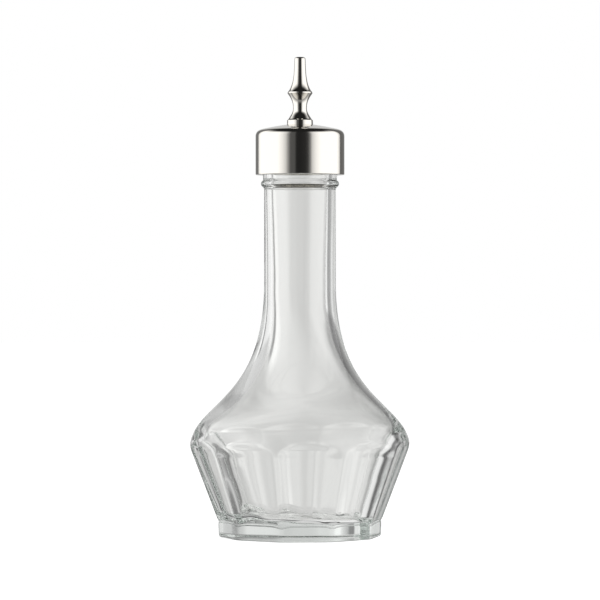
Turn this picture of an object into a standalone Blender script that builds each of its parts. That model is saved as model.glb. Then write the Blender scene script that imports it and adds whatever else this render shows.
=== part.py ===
"""
Bitters bottle: a clear glass bottle with a long round neck, a round shoulder and a
ten-sided lower body on a low foot, closed by a turned steel cap with a pouring spire.

Metres, +Z up. The origin is the middle of the foot's underside, and the front faces -Y.
Every piece is turned about Z. A turned outline is a list of (radius, height) points.
"""
import math

import bmesh
import bpy
from mathutils import Matrix

MM = 0.001

# The glass outside: neck, bead ring, flare and shoulder
NECK_RADIUS = 12.35 * MM
FINISH_RADIUS = 12.75 * MM
MOUTH_HEIGHT = 138.2 * MM
RIM_ROUNDING = 0.9 * MM
BEAD_RADIUS = 13.45 * MM
BEAD_HEIGHT = 121.4 * MM
BEAD_ROUNDING = 1.35 * MM
COLLAR_HEIGHT = 119.2 * MM
COLLAR_RADIUS = 12.6 * MM
NECK_TOP = 116.0 * MM
FLARE_START = 87.4 * MM
FLARE_NECK_PULL = 39.7 * MM
FLARE_SHOULDER_PULL = 14.6 * MM
SHOULDER_CENTRE_RADIUS = 31.5 * MM
SHOULDER_CENTRE_HEIGHT = 31.2 * MM
SHOULDER_ROUNDING = 6.45 * MM
SHOULDER_START_ANGLE = math.radians(12.3)

# The ten flat facets of the lower body
FACETS = 10
FACET_TURN = math.radians(23.0)
FACET_TILT = math.radians(20.15)
FACET_REACH = 35.76 * MM
FACET_REACH_HEIGHT = 29.0 * MM
EDGE_SOFTENING = 0.3 * MM
BODY_BOTTOM = 3.0 * MM

# The foot: a ten-sided plinth with its corners turned off
FOOT_CORNER_RADIUS = 28.2 * MM
FOOT_FLAT_REACH = 27.6 * MM
FOOT_DRAFT = 0.35 * MM
FOOT_TOP = 8.0 * MM
FOOT_EDGE_ROUNDING = 1.2 * MM

# The hollow inside the glass
MOUTH_BORE_RADIUS = 10.0 * MM
NECK_BORE_RADIUS = 9.0 * MM
NECK_BORE_HEIGHT = 80.0 * MM
MOUTH_BORE_PULL = 20.2 * MM
NECK_BORE_PULL = 24.0 * MM
CAVITY_RADIUS = 33.2 * MM
CAVITY_HEIGHT = 32.0 * MM
CAVITY_ROUNDING = 4.0 * MM
CAVITY_NECK_PULL = 34.0 * MM
CAVITY_SHOULDER_PULL = 15.0 * MM
FLOOR_HEIGHT = 7.2 * MM
FLOOR_ROUNDING = 4.5 * MM

# The cap: a domed lid with a straight skirt round the mouth
CAP_RADIUS = 15.3 * MM
CAP_BOTTOM = 124.4 * MM
CAP_SEAT_RADIUS = 4.9 * MM
CAP_SEAT_HEIGHT = 141.7 * MM
CAP_DOME_PULL_INNER = (7.8 * MM, 141.3 * MM)
CAP_DOME_PULL_OUTER = (10.6 * MM, 140.72 * MM)
CAP_DOME_EDGE = (13.0 * MM, 140.2 * MM)
CAP_CORNER_PULL = (14.6 * MM, 139.84 * MM)
CAP_SKIRT_TOP = 137.6 * MM
CAP_SKIRT_PULL = 1.4 * MM
CAP_EDGE = 0.35 * MM
CAP_RECESS_RADIUS = 8.6 * MM
CAP_RECESS_HEIGHT = 140.1 * MM
CAP_RECESS_SLOPE = 1.2 * MM

# The pouring spire that stands on the cap
SPIRE_TOP = 165.0 * MM
SPIRE_TIP_RADIUS = 1.9 * MM
SPIRE_TIP_ROUNDING = 0.8 * MM
SPOUT_PULL_HIGH = (2.0 * MM, 158.6 * MM)
SPOUT_PULL_LOW = (2.35 * MM, 155.8 * MM)
SPIRE_RING_RADIUS = 4.35 * MM
SPIRE_RING_TOP = 152.7 * MM
SPIRE_RING_BOTTOM = 152.0 * MM
SPIRE_RING_BEVEL = 0.6 * MM
UNDER_RING_PULL = (3.2 * MM, 150.9 * MM)
SPIRE_WAIST_RADIUS = 2.35 * MM
SPIRE_WAIST_HEIGHT = 147.5 * MM
SPIRE_WAIST_PULL_UP = 2.1 * MM
SPIRE_WAIST_PULL_DOWN = 1.5 * MM
DRUM_PULL = (3.0 * MM, 145.3 * MM)
SPIRE_DRUM_RADIUS = 4.5 * MM
SPIRE_DRUM_TOP = 143.5 * MM
SPIRE_DRUM_EDGE = 0.15 * MM
SPIRE_FLARE_RADIUS = 3.95 * MM
POUR_HOLE_RADIUS = 0.4 * MM

# Clearance left between two pieces that touch, and how far a cutter stands proud
GAP = 0.3 * MM
CUT_OVERRUN = 2.0 * MM

# Sides of the turned pieces: six to a facet on the glass
GLASS_SIDES = 6 * FACETS
CAVITY_SIDES = 48
CAP_SIDES = 60
SPIRE_SIDES = 32
SMOOTH_ANGLE = math.radians(32.0)


def arc(centre_radius, centre_height, size, start, end, steps):
    """Points on a round stretch of an outline, from one angle to another."""
    points = []
    for i in range(steps + 1):
        angle = start + (end - start) * i / steps
        points.append((
            centre_radius + size * math.cos(angle),
            centre_height + size * math.sin(angle),
        ))
    return points


def sweep(start, pull_start, pull_end, end, steps):
    """Points on a smooth curve between two points, drawn towards two others."""
    points = []
    for i in range(steps + 1):
        t = i / steps
        weights = ((1 - t) ** 3, 3 * (1 - t) ** 2 * t, 3 * (1 - t) * t * t, t ** 3)
        corners = (start, pull_start, pull_end, end)
        points.append((
            sum(w * c[0] for w, c in zip(weights, corners)),
            sum(w * c[1] for w, c in zip(weights, corners)),
        ))
    return points


def before(point, angle, distance):
    """The point that lies a distance back along an arc's tangent at an angle."""
    return (
        point[0] - distance * math.sin(angle),
        point[1] + distance * math.cos(angle),
    )


def facet_reach(height):
    """Distance from the axis to the middle of a facet at a height."""
    return FACET_REACH + (height - FACET_REACH_HEIGHT) * math.tan(FACET_TILT)


def facet_corner(height):
    """Distance from the axis to the edge between two facets at a height."""
    return facet_reach(height) / math.cos(math.pi / FACETS)


def turned(name, outline, sides, ring=False, turn=0.0):
    """A solid turned about Z from an outline, either from axis to axis or a closed ring."""
    bm = bmesh.new()
    verts = [bm.verts.new((r * math.sin(turn), -r * math.cos(turn), z)) for r, z in outline]
    edges = [bm.edges.new(pair) for pair in zip(verts, verts[1:])]
    if ring:
        edges.append(bm.edges.new((verts[-1], verts[0])))
    bmesh.ops.spin(
        bm, geom=verts + edges, cent=(0, 0, 0), axis=(0, 0, 1),
        angle=2 * math.pi, steps=sides, use_merge=True,
    )
    bmesh.ops.remove_doubles(bm, verts=bm.verts, dist=0.001 * MM)
    bmesh.ops.recalc_face_normals(bm, faces=bm.faces)
    return to_object(bm, name)


def facet_block(name, low, high, low_reach, high_reach):
    """A ten-sided block with sloping faces, turned so that its edges match the facets'."""
    to_corner = 1 / math.cos(math.pi / FACETS)
    place = Matrix.Rotation(FACET_TURN, 4, "Z") @ Matrix.Translation((0, 0, (low + high) / 2))
    bm = bmesh.new()
    bmesh.ops.create_cone(
        bm, cap_ends=True, segments=FACETS, depth=high - low, matrix=place,
        radius1=low_reach * to_corner, radius2=high_reach * to_corner,
    )
    return to_object(bm, name)


def to_object(bm, name):
    """Turns a finished bmesh into an object in the scene."""
    mesh = bpy.data.meshes.new(name)
    bm.to_mesh(mesh)
    bm.free()
    obj = bpy.data.objects.new(name, mesh)
    bpy.context.scene.collection.objects.link(obj)
    return obj


def combine(body, tool, operation):
    """Fuses a body with a tool, cuts it by the tool or trims it to the tool, which then goes."""
    step = body.modifiers.new(operation.title(), "BOOLEAN")
    step.operation = operation
    step.object = tool
    result = body.evaluated_get(bpy.context.evaluated_depsgraph_get())
    mesh = bpy.data.meshes.new_from_object(result)
    body.modifiers.clear()
    body.data = mesh
    bpy.data.objects.remove(tool)


def finish(obj, material):
    """Gives an object its material and smooth shading with its real edges kept sharp."""
    obj.data.materials.clear()
    obj.data.materials.append(material)
    obj.data.shade_smooth()
    obj.data.set_sharp_from_angle(angle=SMOOTH_ANGLE)


def make_material(name, colour, roughness, metallic, transmission=0.0, ior=1.45):
    """A Principled material from its main values."""
    material = bpy.data.materials.new(name)
    material.use_nodes = True
    shader = material.node_tree.nodes["Principled BSDF"]
    shader.inputs["Base Color"].default_value = (*colour, 1.0)
    shader.inputs["Roughness"].default_value = roughness
    shader.inputs["Metallic"].default_value = metallic
    shader.inputs["Transmission Weight"].default_value = transmission
    shader.inputs["IOR"].default_value = ior
    return material


def glass_outline():
    """The bottle's outside from the middle of its mouth down to the middle of its body's end."""
    finish_top = arc(
        FINISH_RADIUS - RIM_ROUNDING, MOUTH_HEIGHT - RIM_ROUNDING, RIM_ROUNDING,
        math.pi / 2, 0, 3,
    )
    bead_centre = BEAD_RADIUS - BEAD_ROUNDING
    bead_half_angle = math.acos((FINISH_RADIUS - bead_centre) / BEAD_ROUNDING)
    bead = arc(bead_centre, BEAD_HEIGHT, BEAD_ROUNDING, bead_half_angle, -bead_half_angle, 6)
    collar = [(COLLAR_RADIUS, COLLAR_HEIGHT), (NECK_RADIUS, NECK_TOP)]
    corner_tilt = math.atan(math.tan(FACET_TILT) / math.cos(math.pi / FACETS))
    shoulder = arc(
        SHOULDER_CENTRE_RADIUS, SHOULDER_CENTRE_HEIGHT, SHOULDER_ROUNDING,
        SHOULDER_START_ANGLE, -corner_tilt, 5,
    )
    flare = sweep(
        (NECK_RADIUS, FLARE_START),
        (NECK_RADIUS, FLARE_START - FLARE_NECK_PULL),
        before(shoulder[0], SHOULDER_START_ANGLE, FLARE_SHOULDER_PULL),
        shoulder[0],
        18,
    )
    body_end = (facet_corner(BODY_BOTTOM) - EDGE_SOFTENING, BODY_BOTTOM)
    return [
        (0, MOUTH_HEIGHT), *finish_top, *bead, *collar, *flare, *shoulder[1:],
        body_end, (0, BODY_BOTTOM),
    ]


def foot_outline():
    """The plinth before its flats are cut, from the middle of its top to that of its underside."""
    low_radius = FOOT_CORNER_RADIUS - FOOT_DRAFT
    edge = arc(
        low_radius - FOOT_EDGE_ROUNDING, FOOT_EDGE_ROUNDING, FOOT_EDGE_ROUNDING,
        0, -math.pi / 2, 3,
    )
    return [(0, FOOT_TOP), (FOOT_CORNER_RADIUS, FOOT_TOP), *edge, (0, 0)]


def cavity_outline():
    """The hollow from above the mouth down the bore, the flare and the body to its floor."""
    corner_radius = CAVITY_RADIUS - CAVITY_ROUNDING
    shoulder = arc(
        corner_radius, CAVITY_HEIGHT, CAVITY_ROUNDING, SHOULDER_START_ANGLE, -FACET_TILT, 4,
    )
    bore = sweep(
        (MOUTH_BORE_RADIUS, MOUTH_HEIGHT),
        (MOUTH_BORE_RADIUS, MOUTH_HEIGHT - MOUTH_BORE_PULL),
        (NECK_BORE_RADIUS, NECK_BORE_HEIGHT + NECK_BORE_PULL),
        (NECK_BORE_RADIUS, NECK_BORE_HEIGHT),
        7,
    )
    flare = sweep(
        (NECK_BORE_RADIUS, NECK_BORE_HEIGHT),
        (NECK_BORE_RADIUS, NECK_BORE_HEIGHT - CAVITY_NECK_PULL),
        before(shoulder[0], SHOULDER_START_ANGLE, CAVITY_SHOULDER_PULL),
        shoulder[0],
        14,
    )
    # The floor's corner touches both the sloping wall and the flat floor
    wall_at_floor = shoulder[-1][0] - (shoulder[-1][1] - FLOOR_HEIGHT) * math.tan(FACET_TILT)
    inset = FLOOR_ROUNDING * (1 - math.sin(FACET_TILT)) / math.cos(FACET_TILT)
    floor = arc(
        wall_at_floor - inset, FLOOR_HEIGHT + FLOOR_ROUNDING, FLOOR_ROUNDING,
        -FACET_TILT, -math.pi / 2, 5,
    )
    top = MOUTH_HEIGHT + CUT_OVERRUN
    return [
        (0, top), (MOUTH_BORE_RADIUS, top), *bore,
        *flare[1:], *shoulder[1:], *floor, (0, FLOOR_HEIGHT),
    ]


def cap_outline():
    """The cap's shell as a closed ring: over the dome, down the skirt and back up inside."""
    dome = sweep(
        (CAP_SEAT_RADIUS, CAP_SEAT_HEIGHT), CAP_DOME_PULL_INNER, CAP_DOME_PULL_OUTER,
        CAP_DOME_EDGE, 5,
    )
    corner = sweep(
        CAP_DOME_EDGE, CAP_CORNER_PULL, (CAP_RADIUS, CAP_SKIRT_TOP + CAP_SKIRT_PULL),
        (CAP_RADIUS, CAP_SKIRT_TOP), 5,
    )
    pocket = FINISH_RADIUS + GAP
    ceiling = MOUTH_HEIGHT + GAP
    return [
        (POUR_HOLE_RADIUS, CAP_SEAT_HEIGHT),
        *dome,
        *corner[1:],
        (CAP_RADIUS, CAP_BOTTOM + CAP_EDGE),
        (CAP_RADIUS - CAP_EDGE, CAP_BOTTOM),
        (pocket + CAP_EDGE, CAP_BOTTOM),
        (pocket, CAP_BOTTOM + CAP_EDGE),
        (pocket, ceiling),
        (CAP_RECESS_RADIUS, ceiling),
        (CAP_RECESS_RADIUS - CAP_RECESS_SLOPE, CAP_RECESS_HEIGHT),
        (POUR_HOLE_RADIUS, CAP_RECESS_HEIGHT),
    ]


def spire_outline():
    """The spire as a closed ring round its pour hole, from its tip down to its drum."""
    tip = arc(
        SPIRE_TIP_RADIUS - SPIRE_TIP_ROUNDING, SPIRE_TOP - SPIRE_TIP_ROUNDING,
        SPIRE_TIP_ROUNDING, math.pi / 2, 0, 3,
    )
    ring_shoulder = (SPIRE_RING_RADIUS - SPIRE_RING_BEVEL, SPIRE_RING_TOP + SPIRE_RING_BEVEL)
    spout = sweep(tip[-1], SPOUT_PULL_HIGH, SPOUT_PULL_LOW, ring_shoulder, 8)
    waist = (SPIRE_WAIST_RADIUS, SPIRE_WAIST_HEIGHT)
    above_waist = (SPIRE_WAIST_RADIUS, SPIRE_WAIST_HEIGHT + SPIRE_WAIST_PULL_UP)
    below_waist = (SPIRE_WAIST_RADIUS, SPIRE_WAIST_HEIGHT - SPIRE_WAIST_PULL_DOWN)
    ring_edge = (SPIRE_RING_RADIUS, SPIRE_RING_BOTTOM)
    under_ring = sweep(ring_edge, UNDER_RING_PULL, above_waist, waist, 6)
    drum_neck = (SPIRE_FLARE_RADIUS, SPIRE_DRUM_TOP)
    flare = sweep(waist, below_waist, DRUM_PULL, drum_neck, 6)
    base = CAP_SEAT_HEIGHT + GAP
    return [
        (POUR_HOLE_RADIUS, SPIRE_TOP), *tip, *spout[1:],
        (SPIRE_RING_RADIUS, SPIRE_RING_TOP), *under_ring, *flare[1:],
        (SPIRE_DRUM_RADIUS - SPIRE_DRUM_EDGE, SPIRE_DRUM_TOP),
        (SPIRE_DRUM_RADIUS, base), (POUR_HOLE_RADIUS, base),
    ]


def make_glass():
    """The bottle: turned, cut by its ten facets, joined to its foot and hollowed."""
    bottle = turned("glass_bottle", glass_outline(), GLASS_SIDES, turn=FACET_TURN)
    high = MOUTH_HEIGHT + CUT_OVERRUN
    low = BODY_BOTTOM - CUT_OVERRUN
    facets = facet_block("facets", low, high, facet_reach(low), facet_reach(high))
    combine(bottle, facets, "INTERSECT")

    foot = turned("foot", foot_outline(), GLASS_SIDES, turn=FACET_TURN)
    flats = facet_block("flats", -CUT_OVERRUN, FOOT_TOP + CUT_OVERRUN,
                        FOOT_FLAT_REACH - FOOT_DRAFT, FOOT_FLAT_REACH)
    combine(foot, flats, "INTERSECT")
    combine(bottle, foot, "UNION")

    cavity = turned("cavity", cavity_outline(), CAVITY_SIDES)
    combine(bottle, cavity, "DIFFERENCE")
    finish(bottle, make_material(
        "clear_glass", (0.93, 0.95, 0.94), roughness=0.02, metallic=0.0,
        transmission=1.0, ior=1.52,
    ))


def make_cap():
    """The cap and its spire, both of polished steel, each a piece of its own."""
    cap = turned("dasher_cap", cap_outline(), CAP_SIDES, ring=True)
    finish(cap, make_material("polished_steel", (0.78, 0.77, 0.76), 0.08, 1.0))
    spire = turned("dasher_spire", spire_outline(), SPIRE_SIDES, ring=True)
    finish(spire, make_material("turned_steel", (0.80, 0.79, 0.78), 0.12, 1.0))


for old in list(bpy.data.objects):
    bpy.data.objects.remove(old)
make_glass()
make_cap()
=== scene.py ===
import math

import bpy
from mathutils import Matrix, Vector, noise


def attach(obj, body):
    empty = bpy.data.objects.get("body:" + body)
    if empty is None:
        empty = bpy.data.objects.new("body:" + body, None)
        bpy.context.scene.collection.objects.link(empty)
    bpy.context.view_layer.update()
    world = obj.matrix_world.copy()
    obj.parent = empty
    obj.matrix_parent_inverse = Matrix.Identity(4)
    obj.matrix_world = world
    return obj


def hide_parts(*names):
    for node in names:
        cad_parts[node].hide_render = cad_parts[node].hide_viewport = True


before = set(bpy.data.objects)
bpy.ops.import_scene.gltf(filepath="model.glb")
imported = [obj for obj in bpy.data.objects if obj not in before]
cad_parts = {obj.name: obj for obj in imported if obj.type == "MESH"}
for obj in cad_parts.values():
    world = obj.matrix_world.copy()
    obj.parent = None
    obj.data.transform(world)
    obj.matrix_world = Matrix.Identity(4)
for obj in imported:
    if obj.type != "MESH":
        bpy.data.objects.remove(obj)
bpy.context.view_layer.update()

# The camera
# A long lens a little over a metre in front of the bottle, level with the foot of its
# neck, as in the photograph: the cap is seen from just below and the foot from above.
MM = 0.001
CAMERA_DISTANCE = 1136 * MM
CAMERA_HEIGHT = 91.7 * MM
AIM_HEIGHT = 81.4 * MM
FIELD_OF_VIEW = math.radians(10.39)
# Light turns back many times inside the thick facets before it leaves them. With the usual
# limit on its bounces, the walls of the body go black.
LIGHT_BOUNCES = 28

scene = bpy.context.scene
lens = bpy.data.cameras.new("long_lens")
lens.angle = FIELD_OF_VIEW
camera = bpy.data.objects.new("camera", lens)
scene.collection.objects.link(camera)
camera.location = (0, -CAMERA_DISTANCE, CAMERA_HEIGHT)
aim = Vector((0, 0, AIM_HEIGHT)) - camera.location
camera.rotation_euler = aim.to_track_quat("-Z", "Y").to_euler()
scene.camera = camera
scene.view_settings.view_transform = "Standard"
scene.cycles.max_bounces = LIGHT_BOUNCES
scene.cycles.transmission_bounces = LIGHT_BOUNCES
scene.cycles.glossy_bounces = LIGHT_BOUNCES

# The studio
# A pale sweep behind, a tall softbox on either side and a black screen round the camera.
# The light that glass bends is set apart from the light that steel and glass reflect. The
# dark gaps between softboxes and sweep draw the lines in the edges of clear glass.
SOFTBOX = 1.75
GLASS_SOFTBOX = 1.0
BLACK = 0.02
# Each stop is a direction and its brightness. The direction is in degrees from straight
# behind the bottle, and to the right is positive.
REFLECTED_ROUND = (
    (-180, 0.024), (-171, 0.026), (-166, 0.12), (-155, 0.13), (-148, 0.5), (-143, 0.95), (-134, 1.35),
    (-120, SOFTBOX), (-58, SOFTBOX), (-46, 1.3), (-42, 0.26), (-18, 0.22), (-7, 0.72), (7, 0.72),
    (18, 0.22), (52, 0.18), (56, 1.1), (68, SOFTBOX), (124, SOFTBOX), (138, 1.4), (148, 0.95),
    (153, 0.32), (159, 0.07), (166, 0.034), (180, 0.024),
)
REFRACTED_ROUND = (
    (-180, 0.62), (-163, 0.62), (-159, 0.25), (-154, 0.25), (-149, 0.70), (-122, GLASS_SOFTBOX),
    (-60, GLASS_SOFTBOX), (-40, 0.80), (-30, 0.76), (-27, 0.18), (-22, 0.18), (-19, 1.0), (-15, 1.0),
    (-11, 0.80), (-4, 0.82), (-1, 0.75), (1, 0.70), (4, 0.69), (7, 0.76), (22, 0.78), (31, 0.42),
    (38, 0.25), (51, 0.25), (57, 0.85), (66, GLASS_SOFTBOX), (122, GLASS_SOFTBOX), (134, 0.66),
    (138, 0.25), (144, 0.25), (150, 0.62), (180, 0.62),
)
REFRACTED_HIGH = (
    (-180, 0.6), (-160, 0.6), (-125, 1.2), (-66, 1.2), (-57, 0.6), (-33, 0.55), (-12, 0.7), (8, 0.62),
    (20, 0.28), (46, 0.1), (54, 0.2), (72, 0.85), (95, 1.1), (125, 1.1), (148, 0.6), (180, 0.6),
)
REFRACTED_LOW = (
    (-180, 0.35), (-160, 0.35), (-130, 1.0), (-85, 1.0), (-75, 0.3), (-66, 0.3), (-57, 0.6),
    (-50, 0.2), (-30, 0.07), (-20, 0.6), (-3, 0.7), (24, 0.6), (38, 0.08), (47, 0.08), (55, 0.8),
    (95, 1.1), (150, 0.55), (170, 0.55), (180, 0.35),
)
REFLECTED_FLOOR = 0.40
# Each band is where one level passes into the next. It counts from -1 for straight down to
# 1 for straight up, with the horizon at nought.
REFLECTED_TOP = (0.50, 0.84)
REFLECTED_BOTTOM = (-0.70, -0.30)
REFRACTED_UP = (0.02, 0.12)
REFRACTED_DOWN = (-0.17, -0.10)
# A mix node has several sockets called A and B. These two take plain numbers.
MIX_FROM = 2
MIX_TO = 3


def add_node(tree, kind, settings=None, inputs=None):
    """Adds a node, sets its options, and sets or links its inputs."""
    made = tree.nodes.new(kind)
    for name, value in (settings or {}).items():
        setattr(made, name, value)
    for name, value in (inputs or {}).items():
        if isinstance(value, bpy.types.NodeSocket):
            tree.links.new(value, made.inputs[name])
        else:
            made.inputs[name].default_value = value
    return made


world = bpy.data.worlds.new("studio")
scene.world = world
world.use_nodes = True
sky = world.node_tree
sky.nodes.clear()
direction = add_node(sky, "ShaderNodeTexCoord").outputs["Generated"]
parts = add_node(sky, "ShaderNodeSeparateXYZ", inputs={0: direction}).outputs
compass = add_node(sky, "ShaderNodeMath", {"operation": "ARCTAN2"}, {
    0: parts["X"], 1: parts["Y"],
}).outputs[0]


def all_round(stops):
    """The light level round the compass, straight from stop to stop."""
    level = stops[0][1]
    for (angle, before), (next_angle, after) in zip(stops, stops[1:]):
        step = add_node(sky, "ShaderNodeMapRange", inputs={
            "Value": compass, "From Min": math.radians(angle), "From Max": math.radians(next_angle),
            "To Min": 0.0, "To Max": after - before,
        }).outputs[0]
        level = add_node(sky, "ShaderNodeMath", inputs={0: level, 1: step}).outputs[0]
    return level


def by_height(below, above, band):
    """Goes from one level to another as the direction rises through a band."""
    rise = add_node(sky, "ShaderNodeMapRange", {"interpolation_type": "SMOOTHSTEP"}, {
        "Value": parts["Z"], "From Min": band[0], "From Max": band[1], "To Min": 0.0, "To Max": 1.0,
    }).outputs[0]
    return add_node(sky, "ShaderNodeMix", {"data_type": "FLOAT"}, {
        "Factor": rise, MIX_FROM: below, MIX_TO: above,
    }).outputs[0]


reflected = by_height(all_round(REFLECTED_ROUND), BLACK, REFLECTED_TOP)
reflected = by_height(REFLECTED_FLOOR, reflected, REFLECTED_BOTTOM)
refracted = by_height(all_round(REFRACTED_ROUND), all_round(REFRACTED_HIGH), REFRACTED_UP)
refracted = by_height(all_round(REFRACTED_LOW), refracted, REFRACTED_DOWN)
path = add_node(sky, "ShaderNodeLightPath").outputs
lit = add_node(sky, "ShaderNodeMix", {"data_type": "FLOAT"}, {
    "Factor": path["Is Transmission Ray"], MIX_FROM: reflected, MIX_TO: refracted,
}).outputs[0]
shown = add_node(sky, "ShaderNodeMix", {"data_type": "FLOAT"}, {
    "Factor": path["Is Camera Ray"], MIX_FROM: lit, MIX_TO: 1.0,
}).outputs[0]
glow = add_node(sky, "ShaderNodeBackground", inputs={"Color": shown})
add_node(sky, "ShaderNodeOutputWorld", inputs={"Surface": glow.outputs[0]})

# The floor
# A matt white table top that takes a faint soft shadow. Steel and glass look through it at
# the lower half of the studio, because a plane this wide and white would flood them.
FLOOR_SIZE = 6.0
FLOOR_GLOW = 0.92


def linear(code):
    """An sRGB hex colour as linear red, green, blue and alpha."""
    shades = [int(code[i:i + 2], 16) / 255 for i in (0, 2, 4)]
    return (*[c / 12.92 if c <= 0.04045 else ((c + 0.055) / 1.055) ** 2.4 for c in shades], 1.0)


def bare_material(name):
    """A new material with an empty node tree."""
    made = bpy.data.materials.new(name)
    made.use_nodes = True
    made.node_tree.nodes.clear()
    return made


bpy.ops.mesh.primitive_plane_add(size=FLOOR_SIZE, location=(0, 0, 0))
floor = bpy.context.object
floor.name = "floor"

# White laminate, pressed dead matt. The eye gets an even white with no gloss, and a glow of
# its own lifts the matt grey under it, so that the shadow stays as weak as clear glass casts.
laminate = bare_material("matt_white_laminate")
tree = laminate.node_tree
matt = add_node(tree, "ShaderNodeBsdfDiffuse", inputs={"Color": linear("B3B3B3")}).outputs[0]
lift = add_node(tree, "ShaderNodeEmission", inputs={"Strength": FLOOR_GLOW}).outputs[0]
top = add_node(tree, "ShaderNodeAddShader", inputs={0: matt, 1: lift}).outputs[0]
add_node(tree, "ShaderNodeOutputMaterial", inputs={"Surface": top})
floor.data.materials.append(laminate)
floor.visible_transmission = False
floor.visible_glossy = False

# The glass bottle
# Clear soda-lime glass, pressed and blown in a mould: a round neck and shoulder, ten flat
# facets round the lower body and a thick base. Inside, the wall runs a little uneven.
BOTTLE_SIDES = 320
FACETS = 10
# Sizes from here on are in millimetres, and a pair is a point's radius and its height.
FACET_TURN = math.radians(23.0)
FACET_TILT = math.radians(20.15)
FACET_REACH = 35.76
FACET_REACH_HEIGHT = 29.0
FACET_CRISPNESS = 110
FACETS_END = 60.0
FOOT_REACH = 27.4
FOOT_DRAFT = 0.35
FOOT_CRISPNESS = 40
FOOT_EDGE = 0.6
FOOT_JOIN = 8.0
JOIN_CRISPNESS = 260
GROOVE_DEPTH = 0.22
GROOVE_WIDTH = 0.22
SHOULDER_CENTRE = (31.5, 31.2)
SHOULDER_ROUNDING = 6.45
SHOULDER_ANGLE = math.radians(12.3)
NECK_RADIUS = 12.35
NECK_BOTTOM = 87.4
NECK_TOP = 119.1
FLARE_PULL_LOW = 14.6
FLARE_PULL_HIGH = 39.7
BEAD_RADIUS = 13.45
BEAD_HEIGHT = 121.4
BEAD_ROUNDING = 1.35
BEAD_FILLET_PULLS = ((NECK_RADIUS, 119.7), (12.5, 119.95))
FINISH_RADIUS = 12.75
FINISH_BOTTOM = 123.2
MOUTH_HEIGHT = 138.2
RIM_ROUNDING = 0.9
BORE_TOP = (10.0, MOUTH_HEIGHT)
BORE_BOTTOM = (9.2, 82.0)
BORE_PULLS = ((BORE_TOP[0], 118.0), (BORE_BOTTOM[0], 106.0))
CAVITY_CREST = (32.9, 33.0)
CAVITY_PULLS = ((BORE_BOTTOM[0], 48.0), (CAVITY_CREST[0], 44.5))
CREST_PULL = (CAVITY_CREST[0], 31.3)
WALL_TOP = (31.63, 29.0)
WALL_SLOPE = math.tan(math.radians(21.0))
WALL_PULL = 1.0
FLOOR_HEIGHT = 7.2
FLOOR_ROUNDING = 3.4
# The hollow runs off centre: each pair is a height and how far it lies to the right there.
CAVITY_SHIFTS = ((84.0, -0.25), (50.0, 1.0), (30.0, -0.4))
WALL_RIPPLE = 0.05
WALL_RIPPLE_LENGTH = 14.0
WALL_RIPPLE_TOP = 120.0
WALL_CALM_RADIUS = 6.0
# The hollow's floor slopes and waves. Both fade up the wall, and are gone at the sway's top.
FLOOR_SLOPE = 0.055
FLOOR_RIPPLE = 0.5
FLOOR_RIPPLE_LENGTH = 7.0
FLOOR_CALM_RADIUS = 8.0
FLOOR_SWAY_TOP = 22.0
FLOOR_SWAY_FADE = 12.0
# The mesh's rings lie close together in the foot, and again from this height to the shoulder.
FOOT_RINGS = 84
CLOSER_ABOVE = 24.0
# The flat underside and the hollow's floor have rings at these shares of their radius.
UNDERSIDE_SHARES = (0.2, 0.5, 0.8, 0.95)
FLOOR_SHARES = (0.85, 0.6, 0.35, 0.15)


def arc(centre, size, start, end, steps):
    """Points on a round stretch of an outline, from one angle to another."""
    turns = [start + (end - start) * i / steps for i in range(steps + 1)]
    return [(centre[0] + size * math.cos(t), centre[1] + size * math.sin(t)) for t in turns]


def sweep(start, pull_start, pull_end, end, steps):
    """Points on a smooth curve between two points, drawn towards two others."""
    points = []
    for i in range(steps + 1):
        t = i / steps
        weights = ((1 - t) ** 3, 3 * (1 - t) ** 2 * t, 3 * (1 - t) * t * t, t ** 3)
        corners = (start, pull_start, pull_end, end)
        points.append(tuple(sum(w * c[k] for w, c in zip(weights, corners)) for k in (0, 1)))
    return points


def run(start, end, steps):
    """Points on a straight stretch of an outline."""
    return [tuple(a + (b - a) * i / steps for a, b in zip(start, end)) for i in range(steps + 1)]


def ease(place, start, end):
    """Rises smoothly from nought at the start to one at the end."""
    share = min(1.0, max(0.0, (place - start) / (end - start)))
    return share * share * (3 - 2 * share)


def back_along(point, angle, distance):
    """The point a distance back along an arc's tangent at an angle."""
    return (point[0] - distance * math.sin(angle), point[1] + distance * math.cos(angle))


def ten_sided(turn, reach, crispness, limit=None):
    """Radius of a ten-sided ring, kept inside a round limit. More crispness, sharper corners."""
    step = 2 * math.pi / FACETS
    off = (turn - FACET_TURN) % step - step / 2
    total = sum(max(0.0, math.cos(off + k * step)) ** crispness for k in (-1, 0, 1))
    if limit:
        total += (reach / limit) ** crispness
    return reach * total ** (-1 / crispness)


def facet_reach(height):
    """Distance from the axis to the middle of a facet at a height."""
    return FACET_REACH + (height - FACET_REACH_HEIGHT) * math.tan(FACET_TILT)


def around(radius_at, height_at, shift=0.0):
    """A ring of points about the axis from a radius and a height at each turn."""
    ring = []
    for j in range(BOTTLE_SIDES):
        turn = 2 * math.pi * j / BOTTLE_SIDES
        r = radius_at(turn)
        x, y = r * math.sin(turn), -r * math.cos(turn)
        ring.append((x + shift, y, height_at(x, y)))
    return ring


def level_ring(radius_at, height):
    """A ring of points about the axis, all at one height."""
    return around(radius_at, lambda x, y: height)


def add_piece(name, points, faces):
    """Puts a smooth piece into the scene, from points in millimetres and its faces."""
    mesh = bpy.data.meshes.new(name)
    mesh.from_pydata([tuple(c * MM for c in p) for p in points], [], faces)
    mesh.shade_smooth()
    piece = bpy.data.objects.new(name, mesh)
    scene.collection.objects.link(piece)
    return piece


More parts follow.
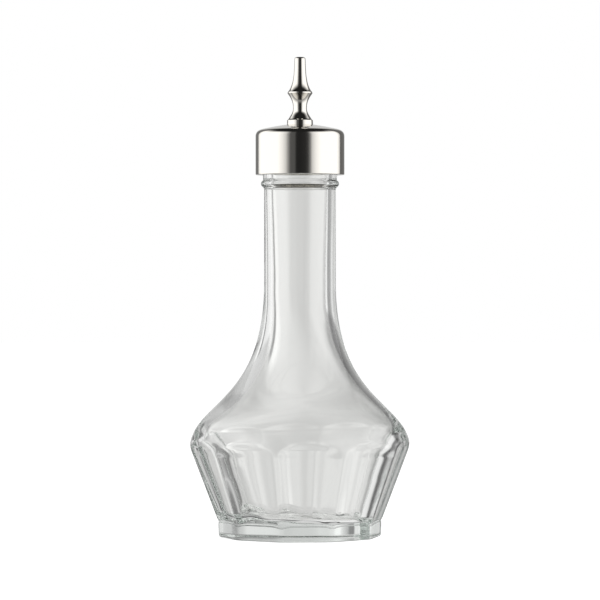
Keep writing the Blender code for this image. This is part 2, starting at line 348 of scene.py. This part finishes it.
def skin(name, rings, sides):
    """A closed surface through rings of points, with a single point at each end."""
    points = []
    faces = []
    for ring in rings:
        points.extend(ring)
    counts = [len(ring) for ring in rings]
    starts = [sum(counts[:i]) for i in range(len(counts))]
    for low, high, few, many in zip(starts, starts[1:], counts, counts[1:]):
        for j in range(sides):
            k = (j + 1) % sides
            if few == 1:
                faces.append((low, high + k, high + j))
            elif many == 1:
                faces.append((low + j, low + k, high))
            else:
                faces.append((low + j, low + k, high + k, high + j))
    return add_piece(name, points, faces)


corner_tilt = math.atan(math.tan(FACET_TILT) / math.cos(math.pi / FACETS))
shoulder = arc(SHOULDER_CENTRE, SHOULDER_ROUNDING, -corner_tilt, SHOULDER_ANGLE, steps=16)


def cone_at(height):
    """Radius at a height of the round cone that the facets' corners lie on."""
    return shoulder[0][0] - (shoulder[0][1] - height) * math.tan(corner_tilt)


def underside(turn):
    """Radius of the foot's flat underside, inside its rounded edge."""
    return ten_sided(turn, FOOT_REACH - FOOT_DRAFT, FOOT_CRISPNESS) - FOOT_EDGE


def foot_and_body(turn, height):
    """Radius where the foot runs into the body, with a fine groove along the join."""
    foot = ten_sided(turn, FOOT_REACH - FOOT_DRAFT * (1 - height / FOOT_JOIN), FOOT_CRISPNESS)
    body = ten_sided(turn, facet_reach(height), FACET_CRISPNESS, cone_at(height))
    share = min(foot, body) / max(foot, body)
    groove = GROOVE_DEPTH * math.exp(-((foot - body) / GROOVE_WIDTH) ** 2)
    return max(foot, body) * (1 + share ** JOIN_CRISPNESS) ** (1 / JOIN_CRISPNESS) - groove


# The glass is one skin. Its rings start in the middle of the underside, go up the outside,
# over the rim and down the inside, and end in the middle of the hollow's floor.
rings = [[(0, 0, 0)]]
for share in UNDERSIDE_SHARES:
    rings.append(level_ring(lambda turn: share * underside(turn), 0.0))
for out, up in arc((0, FOOT_EDGE), FOOT_EDGE, -math.pi / 2, 0, steps=8):
    rings.append(level_ring(lambda turn: underside(turn) + out, up))
for _, z in run((0, FOOT_EDGE), (0, FOOT_JOIN), steps=FOOT_RINGS)[1:]:
    rings.append(level_ring(lambda turn: foot_and_body(turn, z), z))

flare = sweep(
    shoulder[-1],
    back_along(shoulder[-1], SHOULDER_ANGLE, FLARE_PULL_LOW),
    (NECK_RADIUS, NECK_BOTTOM - FLARE_PULL_HIGH),
    (NECK_RADIUS, NECK_BOTTOM),
    steps=90,
)
bead_centre = BEAD_RADIUS - BEAD_ROUNDING
bead_angle = math.acos((FINISH_RADIUS - bead_centre) / BEAD_ROUNDING)
bead = arc((bead_centre, BEAD_HEIGHT), BEAD_ROUNDING, -bead_angle, bead_angle, steps=14)
rim_centre = (FINISH_RADIUS - RIM_ROUNDING, MOUTH_HEIGHT - RIM_ROUNDING)
outside = [
    *run((cone_at(FOOT_JOIN), FOOT_JOIN), (cone_at(CLOSER_ABOVE), CLOSER_ABOVE), steps=20)[1:],
    *run((cone_at(CLOSER_ABOVE), CLOSER_ABOVE), shoulder[0], steps=12)[1:],
    *shoulder[1:],
    *flare[1:],
    *run((NECK_RADIUS, NECK_BOTTOM), (NECK_RADIUS, NECK_TOP), steps=14)[1:],
    *sweep((NECK_RADIUS, NECK_TOP), *BEAD_FILLET_PULLS, bead[0], steps=10)[1:-1],
    *bead,
    *run((FINISH_RADIUS, FINISH_BOTTOM), (FINISH_RADIUS, rim_centre[1]), steps=6),
    *arc(rim_centre, RIM_ROUNDING, 0, math.pi / 2, steps=6)[1:],
]
for r, z in outside:
    if z < FACETS_END:
        rings.append(level_ring(lambda turn: ten_sided(turn, facet_reach(z), FACET_CRISPNESS, r), z))
    else:
        rings.append(level_ring(lambda turn: r, z))

wall_low = WALL_TOP[0] - (WALL_TOP[1] - FLOOR_HEIGHT) * WALL_SLOPE
wall_angle = math.atan(WALL_SLOPE)
inset = FLOOR_ROUNDING * (1 - math.sin(wall_angle)) / math.cos(wall_angle)
floor_corner = arc(
    (wall_low - inset, FLOOR_HEIGHT + FLOOR_ROUNDING), FLOOR_ROUNDING, -wall_angle, -math.pi / 2, steps=14,
)
wall_pull = (WALL_TOP[0] + WALL_PULL * WALL_SLOPE, WALL_TOP[1] + WALL_PULL)
inside = [
    *sweep(BORE_TOP, *BORE_PULLS, BORE_BOTTOM, steps=60),
    *sweep(BORE_BOTTOM, *CAVITY_PULLS, CAVITY_CREST, steps=90)[1:],
    *sweep(CAVITY_CREST, CREST_PULL, wall_pull, WALL_TOP, steps=16)[1:],
    *run(WALL_TOP, floor_corner[0], steps=24)[1:],
    *floor_corner[1:],
    *[(share * floor_corner[-1][0], FLOOR_HEIGHT) for share in FLOOR_SHARES],
]


def inner_ring(r, z):
    """A ring of the inner wall, a little off centre, with the wave of blown glass."""
    fade = min(1.0, r / WALL_CALM_RADIUS) * (1.0 if z < WALL_RIPPLE_TOP else 0.0)

    def radius_at(turn):
        at = Vector((math.sin(turn) * r, math.cos(turn) * r, z)) / WALL_RIPPLE_LENGTH
        return r + WALL_RIPPLE * fade * noise.noise(at)

    shift = CAVITY_SHIFTS[0][1]
    for (start, before), (end, after) in zip(CAVITY_SHIFTS, CAVITY_SHIFTS[1:]):
        shift += (after - before) * ease(z, start, end)
    sway = min(1.0, max(0.0, (FLOOR_SWAY_TOP - z) / FLOOR_SWAY_FADE))

    def height_at(x, y):
        wave = noise.noise(Vector((x, y, 0)) / FLOOR_RIPPLE_LENGTH) * FLOOR_RIPPLE
        return z - sway * (FLOOR_SLOPE * x - wave * min(1.0, r / FLOOR_CALM_RADIUS))

    return around(radius_at, height_at, shift)


rings += [inner_ring(r, z) for r, z in inside]
rings.append([(0, 0, FLOOR_HEIGHT)])
bottle = skin("bottle_glass", rings, BOTTLE_SIDES)

# Clear soda-lime glass, fire polished. The eye gets sharp bent light with no haze, a slow
# waviness of nine swells in 100 mm, and a faint grey-green where the glass is thick.
SWELL_LENGTH = 100 / 9
SWELL_DEPTH = 0.4

glass = bare_material("clear_pressed_glass")
tree = glass.node_tree
place = add_node(tree, "ShaderNodeTexCoord").outputs["Object"]
swell = add_node(tree, "ShaderNodeTexNoise", inputs={
    "Vector": place, "Scale": 1 / (SWELL_LENGTH * MM), "Detail": 2.0,
}).outputs[0]
wavy = add_node(tree, "ShaderNodeBump", inputs={
    "Strength": 0.06, "Distance": SWELL_DEPTH * MM, "Height": swell,
}).outputs[0]
surface = add_node(tree, "ShaderNodeBsdfPrincipled", inputs={
    "Base Color": linear("FDFDFC"), "Roughness": 0.0, "IOR": 1.52,
    "Transmission Weight": 1.0, "Normal": wavy,
}).outputs[0]
depth = add_node(tree, "ShaderNodeVolumeAbsorption", inputs={
    "Color": linear("CEDDD5"), "Density": 5.0,
}).outputs[0]
add_node(tree, "ShaderNodeOutputMaterial", inputs={"Surface": surface, "Volume": depth})
bottle.data.materials.append(glass)
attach(bottle, "root")
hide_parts("glass_bottle")

# The cap
# A polished stainless steel lid, spun and turned: a shallow dome with a rounded shoulder
# over a straight skirt that closes round the glass mouth.
CAP_SIDES = 256
CAP_RADIUS = 15.3
CAP_BOTTOM = 124.4
CAP_EDGE = 0.35
SEAT = (4.9, 141.7)
DOME_PULLS = ((7.8, 141.3), (10.6, 140.72))
DOME_EDGE = (13.0, 140.2)
SKIRT_PULLS = ((14.6, 139.84), (CAP_RADIUS, 139.0))
SKIRT_TOP = (CAP_RADIUS, 137.6)
POCKET_RADIUS = 13.05
CEILING_HEIGHT = 138.5
CROWN_FOOT_RADIUS = 8.6
CROWN = (7.4, 140.1)
HOLE_RADIUS = 0.4
CORNER_HOLD = 0.06
SHARP_EDGE = math.radians(40)


def turned(name, outline, sides):
    """A solid turned about Z from a closed outline that runs down its outer side."""
    held = []
    for start, end in zip(outline, outline[1:] + outline[:1]):
        length = math.dist(start, end)
        held.append(start)
        if length > 4 * CORNER_HOLD:
            for share in (CORNER_HOLD / length, 1 - CORNER_HOLD / length):
                held.append(tuple(a + (b - a) * share for a, b in zip(start, end)))
    points = []
    faces = []
    count = len(held)
    for j in range(sides):
        turn = 2 * math.pi * j / sides
        points += [(r * math.sin(turn), -r * math.cos(turn), z) for r, z in held]
    for j in range(sides):
        k = (j + 1) % sides
        for i in range(count):
            n = (i + 1) % count
            faces.append((j * count + i, j * count + n, k * count + n, k * count + i))
    piece = add_piece(name, points, faces)
    piece.data.set_sharp_from_angle(angle=SHARP_EDGE)
    return piece


edge_centre = CAP_BOTTOM + CAP_EDGE
cap = turned("steel_cap", [
    (HOLE_RADIUS, SEAT[1]),
    *sweep(SEAT, *DOME_PULLS, DOME_EDGE, steps=20),
    *sweep(DOME_EDGE, *SKIRT_PULLS, SKIRT_TOP, steps=16)[1:],
    *arc((CAP_RADIUS - CAP_EDGE, edge_centre), CAP_EDGE, 0, -math.pi / 2, steps=6),
    *arc((POCKET_RADIUS + CAP_EDGE, edge_centre), CAP_EDGE, -math.pi / 2, -math.pi, steps=6),
    (POCKET_RADIUS, CEILING_HEIGHT),
    (CROWN_FOOT_RADIUS, CEILING_HEIGHT),
    CROWN,
    (HOLE_RADIUS, CROWN[1]),
], CAP_SIDES)

# Stainless steel, turned and then polished. The eye gets crisp dark and bright bands, broad
# patches a little duller than the rest, and fine lines round the axis. The lathe's own lines
# are too fine for the render, so they are drawn about one pixel of it apart.
PATCH_LENGTH = 6.25
TURNING_PITCH = 0.35
TURNING_DEPTH = 0.01

steel = bare_material("polished_stainless_steel")
tree = steel.node_tree
place = add_node(tree, "ShaderNodeTexCoord").outputs["Object"]
tone = add_node(tree, "ShaderNodeTexNoise", inputs={
    "Vector": place, "Scale": 1 / (PATCH_LENGTH * MM), "Detail": 4.0,
}).outputs[0]
rough = add_node(tree, "ShaderNodeMapRange", inputs={
    "Value": tone, "To Min": 0.06, "To Max": 0.13,
}).outputs[0]
spot = add_node(tree, "ShaderNodeSeparateXYZ", inputs={0: place}).outputs
flat = add_node(tree, "ShaderNodeCombineXYZ", inputs={0: spot["X"], 1: spot["Y"]}).outputs[0]
out = add_node(tree, "ShaderNodeVectorMath", {"operation": "LENGTH"}, {0: flat}).outputs["Value"]
ringed = add_node(tree, "ShaderNodeCombineXYZ", inputs={0: out, 2: spot["Z"]}).outputs[0]
lines = add_node(tree, "ShaderNodeTexNoise", inputs={
    "Vector": ringed, "Scale": 1 / (TURNING_PITCH * MM), "Detail": 1.0,
}).outputs[0]
cut = add_node(tree, "ShaderNodeBump", inputs={
    "Strength": 0.2, "Distance": TURNING_DEPTH * MM, "Height": lines,
}).outputs[0]
surface = add_node(tree, "ShaderNodeBsdfPrincipled", inputs={
    "Base Color": linear("CFCCC6"), "Metallic": 1.0, "Roughness": rough, "Normal": cut,
}).outputs[0]
add_node(tree, "ShaderNodeOutputMaterial", inputs={"Surface": surface})
cap.data.materials.append(steel)
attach(cap, "root")
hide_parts("dasher_cap")

# The spire
# A pouring nozzle turned from steel bar: a thin spout with a fine hole, a sharp ring, a
# waist and a small drum that is fixed on the middle of the dome.
SPIRE_SIDES = 160
SPIRE_TOP = 165.0
TIP_RADIUS = 1.9
TIP_ROUNDING = 0.8
SPOUT_PULLS = ((2.0, 158.6), (2.35, 155.8))
SPOUT_FOOT = (3.7, 153.6)
RING_TOP = (4.2, 152.95)
RING = (4.32, 152.5)
RING_PULLS = ((3.2, 151.0), (2.35, 149.6))
WAIST = (2.35, 147.5)
WAIST_PULLS = ((2.35, 146.0), (3.0, 145.3))
DRUM_RADIUS = 4.48
DRUM_TOP = 143.5
DRUM_EDGE = ((-0.5, 0.2), (-0.3, 0.0), (-0.05, -0.25))
DRUM_GAP = 0.02

drum_edge = [(DRUM_RADIUS + out, DRUM_TOP + up) for out, up in DRUM_EDGE]
drum_bottom = SEAT[1] + DRUM_GAP
spire = turned("steel_spire", [
    (HOLE_RADIUS, SPIRE_TOP),
    *arc((TIP_RADIUS - TIP_ROUNDING, SPIRE_TOP - TIP_ROUNDING), TIP_ROUNDING, math.pi / 2, 0, steps=8),
    *sweep((TIP_RADIUS, SPIRE_TOP - TIP_ROUNDING), *SPOUT_PULLS, SPOUT_FOOT, steps=24)[1:],
    RING_TOP,
    RING,
    *sweep(RING, *RING_PULLS, WAIST, steps=18)[1:],
    *sweep(WAIST, *WAIST_PULLS, drum_edge[0], steps=18)[1:],
    *drum_edge[1:],
    (DRUM_RADIUS, drum_bottom),
    (HOLE_RADIUS, drum_bottom),
], SPIRE_SIDES)
spire.data.materials.append(steel)
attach(spire, "root")
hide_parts("dasher_spire")
